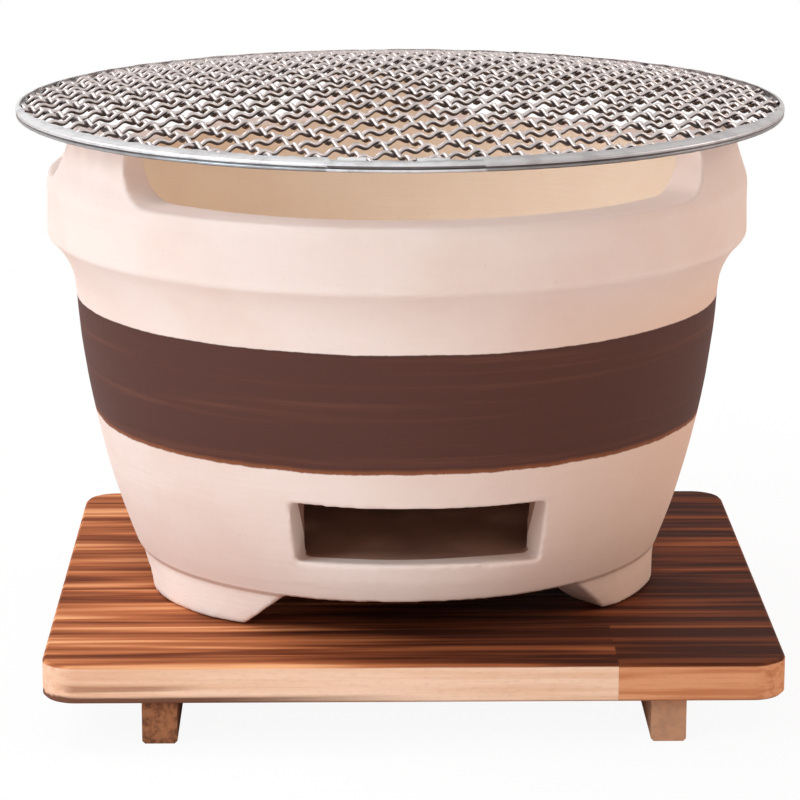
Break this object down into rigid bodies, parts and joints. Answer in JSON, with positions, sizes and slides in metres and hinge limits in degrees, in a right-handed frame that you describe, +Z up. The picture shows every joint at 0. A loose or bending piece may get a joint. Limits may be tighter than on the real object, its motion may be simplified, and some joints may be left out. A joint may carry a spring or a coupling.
{
  "type": "charcoal brazier",
  "caption": "Table-top charcoal brazier: thick clay bowl on feet with an air window and a notched rim, perforated grate inside, woven wire net on top, standing on a battened wooden board.",
  "frame": {"origin": "on the bowl's axis, level with the undersides of the battens", "axes": "+Z up; -Y is the front, with the air window and the board's long front edge; +X to the right seen from the front"},
  "size_m": [0.23, 0.23, 0.1787],
  "materials": {
    "pale_wood": "stained and waxed pale wood, long grain",
    "orange_wood": "stained and waxed orange wood, long grain",
    "charred_wood": "scorched wood with dark and light streaks",
    "batten_wood": "stained wood",
    "zinc_steel": "zinc-plated steel",
    "fired_clay": "matt unglazed diatomite clay with a brushed brown band",
    "grate_clay": "matt unglazed clay",
    "net_wire": "bright galvanised wire",
    "net_strip": "bright folded sheet steel"
  },
  "bodies": {
    "board": {"board_front_stave_long": "pale_wood", "board_front_stave_short": "orange_wood", "board_stave_2": "charred_wood", "board_stave_3": "charred_wood", "board_stave_4": "charred_wood", "board_back_stave": "charred_wood", "left_batten": "batten_wood", "right_batten": "batten_wood", "batten_screws": "zinc_steel"},
    "brazier": {"clay_bowl": "fired_clay"},
    "grate": {"grate_plate": "grate_clay"},
    "net": {"net_warp_wires": "net_wire", "net_weft_wires": "net_wire", "net_rim": "net_strip", "net_rim_lap": "net_strip"}
  },
  "joints": [
    {"name": "brazier_lift", "type": "slide", "parent": "board", "child": "brazier", "axis": [0, 0, 1], "range_m": [0, 0.15]},
    {"name": "net_lift", "type": "slide", "parent": "brazier", "child": "net", "axis": [0, 0, 1], "range_m": [0, 0.15]},
    {"name": "grate_lift", "type": "slide", "parent": "brazier", "child": "grate", "axis": [0, 0, 1], "range_m": [0, 0.08]}
  ]
}
